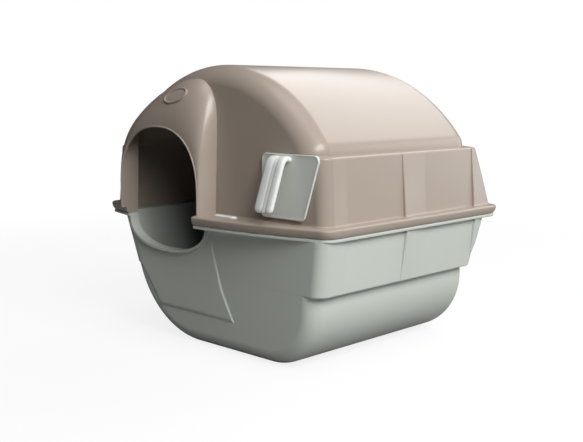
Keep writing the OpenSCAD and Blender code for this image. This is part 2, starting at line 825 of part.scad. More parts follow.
module latch_pin(k) {
    color(steel)
        at_latch(k)
            rotate([90, 0, 0])
                cylinder(h = latch_l + 2 * (lug_gap + lug_t), r = pin_r, center = true, $fn = 40);
}

module latch_pin_left_front() {
    latch_pin(0);
}

module latch_pin_left_rear() {
    latch_pin(1);
}

module latch_pin_rear() {
    latch_pin(2);
}

// Ears under the lip that hold the latch pins
module latch_lugs() {
    for (k = [0 : 2])
        at_latch(k)
            for (s = [-1, 1])
                difference() {
                    translate([-3 * barrel_r, s > 0 ? latch_l / 2 + lug_gap : -latch_l / 2 - lug_gap - lug_t,
                        -barrel_r - 0.5])
                        cube([4 * barrel_r, lug_t, 2 * barrel_r + 3]);
                    rotate([90, 0, 0])
                        cylinder(h = latch_l + 20, r = pin_r, center = true, $fn = 40);
                }
}

lower_shell();
upper_shell();
entry_badge();
front_tab();
filter_grille();
grille_rail_front();
grille_rail_rear();
tray_guide();
waste_tray();
tray_face();
tray_grip();
latch_left_front();
latch_left_rear();
latch_rear();
latch_pin_left_front();
latch_pin_left_rear();
latch_pin_rear();
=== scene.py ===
import math
import bmesh
import bpy
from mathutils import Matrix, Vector


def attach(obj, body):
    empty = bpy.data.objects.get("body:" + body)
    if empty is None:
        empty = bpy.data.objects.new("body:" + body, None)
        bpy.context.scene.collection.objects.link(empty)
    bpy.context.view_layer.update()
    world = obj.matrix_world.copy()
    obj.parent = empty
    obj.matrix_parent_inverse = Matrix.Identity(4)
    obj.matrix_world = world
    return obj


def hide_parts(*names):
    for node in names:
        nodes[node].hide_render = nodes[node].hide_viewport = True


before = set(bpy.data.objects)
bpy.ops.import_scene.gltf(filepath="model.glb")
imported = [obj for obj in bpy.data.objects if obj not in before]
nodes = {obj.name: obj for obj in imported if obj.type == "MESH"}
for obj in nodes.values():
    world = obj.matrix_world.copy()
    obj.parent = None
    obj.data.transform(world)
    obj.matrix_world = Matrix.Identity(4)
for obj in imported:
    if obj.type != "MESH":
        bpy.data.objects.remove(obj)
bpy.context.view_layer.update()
print("frame loaded")

# Sizes are in millimetres, and loftSolid scales them when it makes a mesh
mm = 0.001
sharp = 0.01  # radius of an edge that is left unrounded


def arcPoints(cx, cy, r, a0, a1, count):
    steps = [math.radians(a0 + (a1 - a0) * k / count) for k in range(count + 1)]
    return [(cx + r * math.cos(a), cy + r * math.sin(a)) for a in steps]


def quarterRound(r, count):  # how far in and how far along, round a quarter turn
    steps = [math.radians(90 * k / count) for k in range(count + 1)]
    return [(r * (1 - math.sin(a)), r * (1 - math.cos(a))) for a in steps]


def signedPower(v, e):
    return math.copysign(abs(v) ** e, v)


def mix(a, b, t):
    return a * (1 - t) + b * t


def loftSolid(name, rings):  # closes a stack of equal rings with flat ends
    count = len(rings[0])
    bm = bmesh.new()
    verts = [[bm.verts.new([c * mm for c in p]) for p in ring] for ring in rings]
    for a, b in zip(verts, verts[1:]):
        for k in range(count):
            bm.faces.new((a[k], a[(k + 1) % count], b[(k + 1) % count], b[k]))
    bm.faces.new(list(reversed(verts[0])))
    bm.faces.new(verts[-1])
    bmesh.ops.recalc_face_normals(bm, faces=bm.faces)
    mesh = bpy.data.meshes.new(name)
    bm.to_mesh(mesh)
    bm.free()
    piece = bpy.data.objects.new(name, mesh)
    bpy.context.scene.collection.objects.link(piece)
    return piece


def combine(base, tools, how):  # booleans the tools into the base one by one, then removes them
    for tool in tools:
        cut = base.modifiers.new(how, "BOOLEAN")
        cut.operation = how
        cut.solver = "MANIFOLD"
        cut.object = tool
        bpy.context.view_layer.update()
        made = bpy.data.meshes.new_from_object(base.evaluated_get(bpy.context.evaluated_depsgraph_get()))
        base.modifiers.clear()
        if len(made.polygons) < 8:
            print("boolean came out empty:", base.name, tool.name)
        base.data = made
        bpy.data.objects.remove(tool)
    return base


def finishSurface(piece, angle=28):  # smooth shading that breaks at real edges
    mesh = piece.data
    bm = bmesh.new()
    bm.from_mesh(mesh)
    bmesh.ops.remove_doubles(bm, verts=bm.verts, dist=0.00002)
    bmesh.ops.dissolve_degenerate(bm, edges=bm.edges, dist=0.00001)
    bm.to_mesh(mesh)
    bm.free()
    mesh.polygons.foreach_set("use_smooth", [True] * len(mesh.polygons))
    mesh.set_sharp_from_angle(angle=math.radians(angle))
    weigh = piece.modifiers.new("weighted", "WEIGHTED_NORMAL")
    weigh.keep_sharp = True
    weigh.weight = 60
    return piece


def acrossSolid(name, outline, y0, y1):  # a prism over an outline across the box
    return loftSolid(name, [[(x, y0, z) for x, z in outline], [(x, y1, z) for x, z in outline]])


# Outlines shared by both shells
panels = {"firstStep": -29, "pitch": 170, "depthLow": 4, "depthHigh": 0.8, "ramp": 52, "round": 1.4,
          "softness": 0.16, "margin": 0.3,
          "stops": (-60, -25, -8, -2, -0.2, 0, 0.3, 0.8, 1.4, 3, 8, 16, 28, 40, 48, 51, 52, 54, 60, 80)}


def stepDepth(y, depth):  # side panels stand out at a step, then ramp back in towards the rear
    s = (y - panels["firstStep"]) % panels["pitch"]
    if s >= panels["ramp"]:
        return 0
    rounding = panels["softness"] * max(0, 1 - s / panels["round"]) ** 2
    return depth * (1 - s / panels["ramp"]) * (1 - rounding)


def sideStops(low, high):  # places along a side, close together at each step
    starts = [panels["firstStep"] + panels["pitch"] * k for k in (-1, 0, 1)]
    low, high = low + panels["margin"], high - panels["margin"]
    return sorted(min(high, max(low, start + d)) for start in starts for d in panels["stops"])


def bandRing(z, half, yf, yb, rf, rb, depth, leftX=None):  # one level of a shell's upright sides
    front = arcPoints(half - rf + stepDepth(yf + rf, depth), yf + rf, rf, -90, -4, 9)
    rear = arcPoints(half - rb + stepDepth(yb - rb, depth), yb - rb, rb, 4, 90, 9)
    side = [(half + stepDepth(y, depth), y) for y in sideStops(front[-1][1], rear[0][1])]
    right = front + side + rear
    if leftX is None:
        left = [(-x, y) for x, y in reversed(right)]
    else:
        left = arcPoints(leftX + rb, yb - rb, rb, 90, 180, 9)
        left += arcPoints(leftX + rf, yf + rf, rf, 180, 270, 9)
    return [(x, y, z) for x, y in right + left]


rim = {"halfWidth": 240, "halfDepth": 201, "bow": 29.8, "bowPoints": 48, "corner": 20, "bottom": 186.2,
       "top": 200, "edge": 2.6, "edgeFall": 1.2, "land": 11,
       "belly": ((0, 4.2), (0.8, 3.1), (2, 2.2), (4, 1.2), (6.5, 0.45), (9, 0.05))}


def rimRing(z, inset):  # one level of the rim, whose front bows outwards
    half, back, front = rim["halfWidth"] - inset, rim["halfDepth"] - inset, -rim["halfDepth"] + inset
    r = rim["corner"] - inset * 0.5
    ring = arcPoints(half - r, front + r, r, -80, 0, 12) + arcPoints(half - r, back - r, r, 0, 90, 12)
    ring += arcPoints(-half + r, back - r, r, 90, 180, 12) + arcPoints(-half + r, front + r, r, 180, 260, 12)
    reach = rim["halfWidth"] - rim["corner"]
    for k in range(1, rim["bowPoints"]):
        x = mix(-half + r, half - r, k / rim["bowPoints"])
        ring.append((x, front - rim["bow"] * (1 - (x / reach) ** 2)))
    return [(x, y, z) for x, y in ring]


# Upper shell: arched roof, stepped side bands, rim and hood
walls = {"thickness": 3, "bandThickness": 3.6, "bandHalf": 226, "bandLean": 4, "frontY": -193, "frontLean": 8,
         "rearY": 196, "rearLean": 36, "frontCorner": 18, "rearCorner": 16, "ledge": 291, "ledgeFall": 2,
         "ledgeEdge": 3.2, "foot": 6, "spaceBelow": 2, "stops": (225, 245, 265), "tuck": (6, 5, 2),
         "flare": [(198, 2.2), (200.1, 2), (200.5, 1.1), (201.2, 0.4), (202.4, 0.1)]}
roof = {"radius": 249, "crown": 411, "halfWidth": 207, "shoulder": 28, "rearY": 160, "rearLean": 10, "edge": 30,
        "foot": 198, "spaceFoot": 184.2, "archPoints": 56, "shoulderPoints": 8}
archZ = roof["crown"] - roof["radius"]


def frontAt(z):
    return walls["frontY"] + walls["frontLean"] * (z - rim["top"]) / (roof["crown"] - rim["top"])


def bandRearAt(z):
    return walls["rearY"] - walls["rearLean"] * (z - rim["top"]) / (walls["ledge"] - rim["top"])


def roofRearAt(z):
    return roof["rearY"] - roof["rearLean"] * (z - walls["ledge"]) / (roof["crown"] - walls["ledge"])


def roofOutline(i, foot):  # seen from the front; i is how far inside the skin
    half, r, s = roof["halfWidth"] - i, roof["radius"] - i, max(roof["shoulder"] - i, 4)
    zs = archZ + math.sqrt((r - s) ** 2 - (half - s) ** 2)
    a = math.degrees(math.atan2(zs - archZ, half - s))
    right = arcPoints(half - s, zs, s, 0, a, roof["shoulderPoints"])
    top = arcPoints(0, archZ, r, a + 1.5, 178.5 - a, roof["archPoints"])
    left = arcPoints(-half + s, zs, s, 180 - a, 180, roof["shoulderPoints"])
    return [(half, foot)] + right + top + left + [(-half, foot)]


def roofSolid(name, i, foot):
    ends = quarterRound(roof["edge"] - i, 10)
    rings = [[(x, frontAt(z) + i + along, z) for x, z in roofOutline(i + inset, foot)]
             for inset, along in ends]
    rings += [[(x, roofRearAt(z) - i - along, z) for x, z in roofOutline(i + inset, foot)]
              for inset, along in reversed(ends)]
    return loftSolid(name, rings)


def upperBand(name, i):
    half, rf, rb = walls["bandHalf"], walls["frontCorner"], walls["rearCorner"]
    low, high = panels["depthLow"], panels["depthHigh"]
    foot, top = rim["top"] + walls["foot"], walls["ledge"] - walls["ledgeFall"]
    flare = ([] if i else walls["flare"]) + [(foot, 0)]

    def ring(z, out, depth):
        lean = walls["bandLean"] * min(1, max(0, z - foot) / (top - foot))
        return bandRing(z, half - i - lean + out, frontAt(z) + i - out * 0.8, bandRearAt(z) - i + out * 0.6,
                        rf - i + out, rb - i + out * 0.5, depth)

    rings = [ring(rim["bottom"] - walls["spaceBelow"], 0, low)] if i else []
    rings += [ring(z, out, low) for z, out in flare]
    rings += [ring(z, 0, mix(low, high, (z - foot) / (top - foot))) for z in walls["stops"]]
    for down, inset in quarterRound(sharp if i else walls["ledgeEdge"], 6):
        rings.append(ring(top - down - i, -inset, high))
    z, (side, ends, corner) = walls["ledge"] - i, walls["tuck"]  # the top ring runs in under the roof
    rings.append(bandRing(z, roof["halfWidth"] - side - i, frontAt(z) + i + ends, bandRearAt(z) - i - ends,
                          rf - i - corner, rb - i - corner, 0))
    return loftSolid(name, rings)


def archOutline(points, foot):
    return [(points[0][0], foot)] + points + [(points[-1][0], foot)]


entry = {"x": -81, "half": 89, "side": 230, "arch": 91, "squareness": 0.87, "cutDepth": 42.2, "cutSide": 4,
         "cutRise": 0.2, "lip": 4, "lipIn": 9}
hood = {"out": 28, "flare": 7, "shift": 2, "side": 306, "top": 399, "drop": 15, "squareness": 0.62,
        "fullness": 1.2, "blend": 5, "points": 56, "rows": 14, "foot": 4, "root": 14, "spaceRoot": 24,
        "bead": [(0.3, -0.2), (0.7, -0.9), (1.5, -1.2), (2.3, -0.9), (2.8, -0.2)]}


def holeEdge(grow, a):  # the entry's arch
    half, e = entry["half"] + grow, entry["squareness"]
    return (entry["x"] + half * signedPower(math.cos(a), e),
            entry["side"] + (entry["arch"] + grow) * signedPower(math.sin(a), e))


def hoodEdge(i, a):  # where the hood meets the front wall, kept under the roof's arch
    half, r = entry["half"] + hood["flare"] - i, roof["radius"] - hood["drop"] - i
    x = entry["x"] + hood["shift"] + half * signedPower(math.cos(a), hood["squareness"])
    z = hood["side"] + (hood["top"] - hood["side"] - i) * signedPower(math.sin(a), hood["squareness"])
    cap = archZ + math.sqrt(r * r - x * x)
    return x, z - hood["blend"] * math.log(1 + math.exp((z - cap) / hood["blend"]))


def hoodSkin(a, turn, i=0):  # from the wall, at turn 0, to the hood's front edge, at a quarter turn
    wide, narrow = hoodEdge(i, a), holeEdge(0 if i else walls["thickness"], a)
    t, out = 1 - signedPower(math.cos(turn), hood["fullness"]), signedPower(math.sin(turn), hood["fullness"])
    x, z = mix(wide[0], narrow[0], t), mix(wide[1], narrow[1], t)
    return Vector((x, mix(frontAt(z), walls["frontY"] - hood["out"], out), z))


def hoodSolid(name, i):
    foot = rim["bottom"] - walls["spaceBelow"] if i else rim["top"] - hood["foot"]
    sweep = [math.pi * k / hood["points"] for k in range(hood["points"] + 1)]
    face = walls["frontY"] - hood["out"]
    bead = [(0, -20)] if i else hood["bead"]  # the space inside runs out through the opening
    rings = [[(x, face + y, z) for x, z in archOutline([holeEdge(grow, a) for a in sweep], foot)]
             for grow, y in bead]
    for k in range(hood["rows"], -1, -1):
        turn = math.radians(90 * k / hood["rows"])
        skin = [hoodSkin(a, turn, i) for a in sweep]
        outline = archOutline([(p.x, p.z) for p in skin], foot)
        out = signedPower(math.sin(turn), hood["fullness"])
        rings.append([(x, mix(frontAt(z), face, out) + (2 if i else 0), z) for x, z in outline])
    wide = archOutline([hoodEdge(i, a) for a in sweep], foot)
    root = hood["spaceRoot"] if i else hood["root"]
    rings.append([(x, frontAt(z) + root, z) for x, z in wide])
    return loftSolid(name, rings)


# The waste tray's front: a plate with a raised edge and a two-ridged grip
plate = {"x": 113, "z": 206, "top": 107, "bottom": 81, "height": 86, "thick": 3.5, "corner": 8, "gap": 0.2,
         "lap": 7, "sink": 0.4, "slot": (12, 30)}
grip = {"topX": 136, "lowX": 127, "reachTop": 15, "reachLow": 29, "thick": 7.4, "below": 2, "end": 8,
        "bend": 13, "tip": 0.42, "tipThinning": 0.6, "squareness": 0.75, "points": 28,
        "ridges": ((0, 17.6), (20.4, 12.6)), "web": (14, 9, 3, -1.4)}


def trayOutline(m):  # the plate's outline, m inside its edge
    x0, z0, wide, narrow, high = plate["x"], plate["z"], plate["top"], plate["bottom"], plate["height"]
    s = (wide - narrow) / high
    return [(x0 + m, z0 + m), (x0 + narrow - m * (1 + s * 0.5) + s * m, z0 + m),
            (x0 + wide - m * (1 + s * 0.5) - s * m, z0 + high - m), (x0 + m, z0 + high - m)]


def onFront(x, y, z):  # a place given against the leaning front wall
    a = math.atan(walls["frontLean"] / (roof["crown"] - rim["top"]))
    up = z - rim["top"]
    return (x, walls["frontY"] - plate["gap"] + y * math.cos(a) + up * math.sin(a),
            rim["top"] - y * math.sin(a) + up * math.cos(a))


def plateRing(inset, y):  # the plate's outline with round corners, at a depth y
    lean = math.degrees(math.atan((plate["top"] - plate["bottom"]) / plate["height"]))
    centres = trayOutline(plate["corner"])
    spans = ((180, 270), (270, 360 - lean), (-lean, 90), (90, 180))
    ring = []
    for (x, z), (a0, a1) in zip(centres, spans):
        ring += arcPoints(x, z, plate["corner"] - inset, a0, a1, 9)
    return [onFront(x, y, z) for x, z in ring]


def makeTrayFace():
    t, sink = plate["thick"], plate["sink"]
    edge = [(0.8, -0.05), (0, -0.7), (0, 0.8 - t), (0.25, 0.3 - t), (0.8, -t), (1.7, -t), (2.2, 0.3 - t),
            (2.6, sink - t - 0.2), (3.2, sink - t), (5, sink - t + 0.1)]
    return finishSurface(loftSolid("trayPlate", [plateRing(inset, y) for inset, y in edge]), 40)


def gripSpan():  # heights of the grip's top and of its free end
    return plate["z"] + plate["height"] - grip["below"], plate["z"] + grip["end"]


def gripPath():  # the grip's middle line, as how far out and how high
    top, low = gripSpan()
    half, out = grip["thick"] / 2, -plate["thick"]
    bend = Vector((out - grip["reachTop"] + half, top - half))
    end = Vector((out - grip["reachLow"] + half, low))
    down = (end - bend).normalized()
    path = [Vector((out + 2, top - half - 3)), Vector((out - 1, top - half - 1.5))]
    start, corner, stop = Vector((out - 4, top - half - 0.4)), bend, bend + down * grip["bend"]
    for k in range(9):
        t = k / 8
        path.append(start * (1 - t) ** 2 + corner * 2 * t * (1 - t) + stop * t * t)
    for k in range(1, 11):
        path.append(stop.lerp(end, k / 10))
    return path


def gripBar(name, left, width, thick, drop=0):  # a rounded bar along the middle line
    path = gripPath()
    top, low = gripSpan()
    length = sum((b - a).length for a, b in zip(path, path[1:]))
    rings, walked = [], 0
    for k, p in enumerate(path):
        ahead = path[min(k + 1, len(path) - 1)] - path[max(k - 1, 0)]
        out = Vector((ahead.y, -ahead.x)).normalized()
        walked += (p - path[k - 1]).length if k else 0
        rings.append((p - out * drop, out, walked))
    tip = width * grip["tip"]
    sections = [(p, out, 1) for p, out, s in rings if s < length - tip]
    last, out, ahead = rings[-1][0], rings[-1][1], (path[-1] - path[-2]).normalized()
    for a in (math.radians(degrees) for degrees in range(0, 90, 15)):
        sections.append((last - ahead * tip * (1 - math.sin(a)), out, math.cos(a)))
    made = []
    for p, out, size in sections:
        ring = []
        for k in range(grip["points"]):
            a = 2 * math.pi * k / grip["points"]
            u = width / 2 * size * signedPower(math.cos(a), grip["squareness"])
            v = thick / 2 * size ** grip["tipThinning"] * signedPower(math.sin(a), grip["squareness"])
            y, z = p.x + out.x * v, p.y + out.y * v
            shear = mix(grip["topX"], grip["lowX"], (top - z) / (top - low))
            ring.append(onFront(shear + left + width / 2 + u, y, z))
        made.append(ring)
    return finishSurface(loftSolid(name, made), 50)


def makeGrip():
    bars = [gripBar("gripRidge%d" % k, x, w, grip["thick"]) for k, (x, w) in enumerate(grip["ridges"])]
    return bars + [gripBar("gripWeb", *grip["web"])]


# The bare oval on the hood's shoulder and the pad on the rim beside the hood
badge = {"at": 79, "turn": 45, "tilt": 10, "long": 24, "high": 12, "points": 64,
         "profile": ((0, -2.2), (0, 0.5), (0.3, 0.9), (1, 1.2), (1.9, 1.2), (2.6, 0.9), (3, 0.3), (3.6, 0.05),
                     (5, 0.1), (7.5, 0.35), (9.5, 0.45))}
pad = {"x": 53, "y": -205.5, "length": 42, "depth": 11,
       "profile": ((0.2, 0), (0, 0.6), (0.1, 1.3), (0.7, 2), (1.8, 2.4), (3.4, 2.5))}


def makeBadge():
    at, turn = math.radians(badge["at"]), math.radians(badge["turn"])
    place = hoodSkin(at, turn)
    along = (hoodSkin(at - 0.14, turn) - hoodSkin(at + 0.14, turn)).normalized()
    out = along.cross(hoodSkin(at, turn - 0.12) - hoodSkin(at, turn + 0.12)).normalized()
    up = out.cross(along)
    tilt = math.radians(badge["tilt"])
    long = along * math.cos(tilt) + up * math.sin(tilt)
    short = up * math.cos(tilt) - along * math.sin(tilt)
    rings = []
    for inset, height in badge["profile"]:
        ring = []
        for k in range(badge["points"]):
            a = 2 * math.pi * k / badge["points"]
            ring.append(place + out * height + long * (badge["long"] - inset) * math.cos(a)
                        + short * (badge["high"] - inset) * math.sin(a))
        rings.append(ring)
    return finishSurface(loftSolid("hoodOval", rings), 60)


def makePad():
    half, r = pad["length"] / 2, pad["depth"] / 2
    rings = []
    for inset, z in pad["profile"]:
        ends = arcPoints(half - r, 0, r - inset, -90, 90, 12) + arcPoints(r - half, 0, r - inset, 90, 270, 12)
        rings.append([(pad["x"] + x, pad["y"] + y, rim["top"] + z) for x, y in ends])
    return finishSurface(loftSolid("rimPad", rings), 60)


def makeUpperShell():
    rings = [rimRing(rim["bottom"] + up, inset) for up, inset in rim["belly"]]
    rings += [rimRing(rim["top"] - rim["edgeFall"] - down, inset)
              for down, inset in quarterRound(rim["edge"], 6)]
    rings.append(rimRing(rim["top"], rim["land"]))
    shell = loftSolid("upperSkin", rings)
    combine(shell, [upperBand("band", 0), roofSolid("roof", 0, roof["foot"]), hoodSolid("hood", 0)], "UNION")
    t, (ahead, behind) = walls["thickness"], plate["slot"]
    cuts = [roofSolid("roofSpace", t, roof["spaceFoot"]), upperBand("bandSpace", walls["bandThickness"]),
            hoodSolid("hoodSpace", t), acrossSolid("traySlot", trayOutline(plate["lap"]),
                                                   walls["frontY"] - ahead, walls["frontY"] + behind)]
    combine(shell, cuts, "DIFFERENCE")
    return finishSurface(shell)


# Lower shell: leaning left side, stepped right side, lip, entry cut and the panel under it
lower = {"top": 181.5, "half": 229, "lean": 7, "ledge": 108, "ledgeEdge": 2.4, "proud": 0.2, "bodyHalf": 210,
         "belly": 92, "leftHalf": 202, "leftLean": 19.6, "leftBelly": 141, "frontY": -200, "frontLean": 8,
         "rearY": 172, "rearLean": 20, "edge": 22, "open": 187, "stops": (0.2, 0.45, 0.7, 1), "cutReach": 40,
         "lip": ((181.5, 4.2), (182, 3.4), (182.8, 3), (184.8, 3), (185.5, 3.4), (186, 4.4))}


def leftAt(z):
    return -lower["leftHalf"] + math.tan(math.radians(lower["leftLean"])) * (lower["top"] - z)


def lowFrontAt(z):
    return lower["frontY"] + lower["frontLean"] * (lower["top"] - z) / lower["top"]


def lowRearAt(z):
    return lower["rearY"] - lower["rearLean"] * (lower["top"] - z) / (lower["top"] - lower["ledge"])


def bellyOutline(i, top):  # seen from the front; i is how far inside the skin
    lean = math.radians(lower["leftLean"])
    leftR, rightR = lower["leftBelly"], lower["belly"]
    leftX = leftR * math.cos(lean) + leftAt(leftR * (1 - math.sin(lean)))
    rightX = lower["bodyHalf"] - rightR
    ring = [(leftAt(top) + i / math.cos(lean), top)]
    ring += arcPoints(leftX, leftR, max(leftR - i, 10), 180 + lower["leftLean"], 270, 28)
    ring += arcPoints(rightX, rightR, max(rightR - i, 10), 270, 360, 28)
    return ring + [(lower["bodyHalf"] - i, top)]


def bodySolid(name, i, top):
    ends = quarterRound(lower["edge"] - i, 10)
    rear = lower["rearY"] - lower["rearLean"]
    rings = [[(x, lowFrontAt(z) + i + along, z) for x, z in bellyOutline(i + inset, top)]
             for inset, along in ends]
    rings += [[(x, rear - i - along, z) for x, z in bellyOutline(i + inset, top)]
              for inset, along in reversed(ends)]
    return loftSolid(name, rings)


def lowerBand(name, i, top):
    rf, rb, proud = walls["frontCorner"], walls["rearCorner"], 0 if i else lower["proud"]

    def ring(z, half, inset, depth):
        front, rear = lowFrontAt(z) + i + inset - proud, lowRearAt(z) - i - inset
        return bandRing(z, half - i - inset, front, rear, rf - i, rb - i, depth, leftAt(z) + 1 + i)

    ledge, foot = lower["ledge"] - 1 + i, lower["half"] - lower["lean"]
    rings = [ring(ledge, lower["bodyHalf"] - 6, 1.2, 0)]
    for inset, up in quarterRound(sharp if i else lower["ledgeEdge"], 5):
        rings.append(ring(ledge + 0.05 + up, foot, inset, panels["depthHigh"]))
    for t in lower["stops"]:
        z = mix(lower["ledge"] + 3, top, t)
        lean = lower["lean"] * (1 - min(1, (z - lower["ledge"]) / (lower["top"] - lower["ledge"])))
        rings.append(ring(z, lower["half"] - lean, 0, mix(panels["depthHigh"], panels["depthLow"] + 1.5, t)))
    return loftSolid(name, rings)


apron = {"out": 6, "footZ": 54, "footIn": 49, "rightX": 49, "bendZ": 92, "bendOut": 22, "neckZ": 142,
         "neckOut": 8, "leftZ": 110, "leftIn": 23,
         "bevel": ((12, -6), (8, -0.3), (6, 0.5), (3.8, 1.4), (1.8, 2), (0, 2.1))}


def apronOutline(g):  # the raised panel under the entry, grown by g at its foot
    side, top = entry["x"] + entry["half"] + g / 2, lower["top"] - walls["thickness"]
    return [(leftAt(apron["footZ"]) + apron["footIn"] - g * 0.7, apron["footZ"] - g),
            (apron["rightX"] + g, apron["footZ"] - g), (side + apron["bendOut"], apron["bendZ"]),
            (side + apron["neckOut"], apron["neckZ"]), (side + 1, top),
            (leftAt(lower["top"]) + apron["leftIn"] + apron["out"] - g / 2, top),
            (leftAt(apron["leftZ"]) + apron["leftIn"] - g / 2, apron["leftZ"])]


def apronSolid(name):
    return loftSolid(name, [[(x, lowFrontAt(z) - out, z) for x, z in apronOutline(grow)]
                            for grow, out in apron["bevel"]])


def cutOutline(grow):  # the entry's lower part, cut into the pan
    half, e, level = entry["half"] + grow, entry["squareness"], rim["bottom"] - entry["cutRise"]
    ring = [(entry["x"] + half, level + 1)]
    for k in range(41):
        a = -math.pi * k / 40
        ring.append((entry["x"] + half * signedPower(math.cos(a), e),
                     level - entry["cutSide"] - (entry["cutDepth"] + grow) * signedPower(-math.sin(a), e)))
    return ring + [(entry["x"] - half, level + 1)]


def makeLowerShell():
    top, front, ahead = lower["top"] + 1, lower["frontY"], -260
    body = bodySolid("lowerSkin", 0, top)
    lip = loftSolid("lip", [rimRing(z, inset) for z, inset in lower["lip"]])
    combine(body, [lowerBand("band", 0, top), lip, apronSolid("apron")], "UNION")
    combine(body, [bodySolid("bodySpace", walls["thickness"], lower["open"]),
                   lowerBand("bandSpace", walls["bandThickness"], lower["open"]),
                   acrossSolid("entryCut", cutOutline(0), ahead, front + lower["cutReach"])], "DIFFERENCE")
    # A rounded edge lines the cut, trimmed level with the lip
    level, half = lower["lip"][-1][0], rim["halfWidth"]
    edgeOuter = acrossSolid("edgeOuter", cutOutline(entry["lip"]), front - apron["out"], front + entry["lipIn"])
    inner = [(x, z + 5 if z > level else z) for x, z in cutOutline(0)]
    edgeInner = acrossSolid("edgeInner", inner, ahead, front + 50)
    crop = acrossSolid("crop", [(-half, level), (half, level), (half, 220), (-half, 220)], -240, -100)
    combine(edgeOuter, [edgeInner, crop], "DIFFERENCE")
    combine(body, [edgeOuter], "UNION")
    return finishSurface(body)


def settle(piece, body, node):  # hangs a piece on the body it rides on and hides the solid it stands in for
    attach(piece, body)
    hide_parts(node)
    return piece


upperSkin = settle(makeUpperShell(), "cover", "upper_shell")
print("upper shell made", len(upperSkin.data.polygons))
lowerSkin = settle(makeLowerShell(), "base", "lower_shell")
print("lower shell made", len(lowerSkin.data.polygons))
trayPlate = settle(makeTrayFace(), "tray", "tray_face")
gripBars = [settle(bar, "tray", "tray_grip") for bar in makeGrip()]
oval = settle(makeBadge(), "cover", "entry_badge")
rimPad = settle(makePad(), "cover", "front_tab")
print("small pieces made")


# Shared effect: fine moulded grain with soft mottling and light handling marks
grainLook = {"inputs": (("Grain Scale", 900.0), ("Mottle Scale", 7.0), ("Scuff Scale", 30.0)), "grainDetail": 3,
             "mottleDetail": 4, "scuffDetail": 6, "scuffRoughness": 0.65, "scuffStretch": (1, 0.25, 3.2),
             "scuffRange": (0.58, 0.74)}


def grainGroup():
    group = bpy.data.node_groups.new("mouldedGrain", "ShaderNodeTree")
    for label, value in grainLook["inputs"]:
        group.interface.new_socket(label, in_out="INPUT", socket_type="NodeSocketFloat").default_value = value
    for label in ("Grain", "Mottle", "Scuff"):
        group.interface.new_socket(label, in_out="OUTPUT", socket_type="NodeSocketFloat")
    tree = group.nodes
    link = group.links.new
    enter, leave = tree.new("NodeGroupInput"), tree.new("NodeGroupOutput")
    place = tree.new("ShaderNodeTexCoord")
    grain = tree.new("ShaderNodeTexNoise")
    grain.inputs["Detail"].default_value = grainLook["grainDetail"]
    mottle = tree.new("ShaderNodeTexNoise")
    mottle.inputs["Detail"].default_value = grainLook["mottleDetail"]
    stretch = tree.new("ShaderNodeMapping")
    stretch.inputs["Scale"].default_value = grainLook["scuffStretch"]
    scuff = tree.new("ShaderNodeTexNoise")
    scuff.inputs["Detail"].default_value = grainLook["scuffDetail"]
    scuff.inputs["Roughness"].default_value = grainLook["scuffRoughness"]
    pick = tree.new("ShaderNodeMapRange")
    pick.inputs["From Min"].default_value, pick.inputs["From Max"].default_value = grainLook["scuffRange"]
    link(place.outputs["Object"], grain.inputs["Vector"])
    link(place.outputs["Object"], mottle.inputs["Vector"])
    link(place.outputs["Object"], stretch.inputs["Vector"])
    link(stretch.outputs["Vector"], scuff.inputs["Vector"])
    link(enter.outputs["Grain Scale"], grain.inputs["Scale"])
    link(enter.outputs["Mottle Scale"], mottle.inputs["Scale"])
    link(enter.outputs["Scuff Scale"], scuff.inputs["Scale"])
    link(scuff.outputs["Fac"], pick.inputs["Value"])
    link(grain.outputs["Fac"], leave.inputs["Grain"])
    link(mottle.outputs["Fac"], leave.inputs["Mottle"])
    link(pick.outputs["Result"], leave.inputs["Scuff"])
    return group


mouldedGrain = grainGroup()
surface = {"ior": 1.5, "grainDepth": 0.0004}  # shared by all finishes


def plastic(name, look):  # a finish with its colour, mottling, gloss and grain
    material = bpy.data.materials.new(name)
    material.use_nodes = True
    tree = material.node_tree
    link = tree.links.new
    shader = tree.nodes["Principled BSDF"]
    shader.inputs["IOR"].default_value = surface["ior"]
    shader.inputs["Metallic"].default_value = look.get("metallic", 0)
    effect = tree.nodes.new("ShaderNodeGroup")
    effect.node_tree = mouldedGrain
    effect.inputs["Grain Scale"].default_value = look["grainScale"]
    effect.inputs["Mottle Scale"].default_value = look["mottleScale"]
    colour = tree.nodes.new("ShaderNodeMix")
    colour.data_type = "RGBA"
    base = look["colour"]
    colour.inputs["A"].default_value = tuple(c * (1 - look["mottle"]) for c in base) + (1,)
    colour.inputs["B"].default_value = tuple(min(1, c * (1 + look["mottle"])) for c in base) + (1,)
    link(effect.outputs["Mottle"], colour.inputs["Factor"])
    link(colour.outputs["Result"], shader.inputs["Base Color"])
    rough = tree.nodes.new("ShaderNodeMapRange")
    rough.inputs["To Min"].default_value = look["roughness"]
    rough.inputs["To Max"].default_value = look["roughness"] + look["scuff"]
    link(effect.outputs["Scuff"], rough.inputs["Value"])
    link(rough.outputs["Result"], shader.inputs["Roughness"])
    bump = tree.nodes.new("ShaderNodeBump")
    bump.inputs["Strength"].default_value = look["bump"]
    bump.inputs["Distance"].default_value = surface["grainDepth"]
    link(effect.outputs["Grain"], bump.inputs["Height"])
    link(bump.outputs["Normal"], shader.inputs["Normal"])
    return material


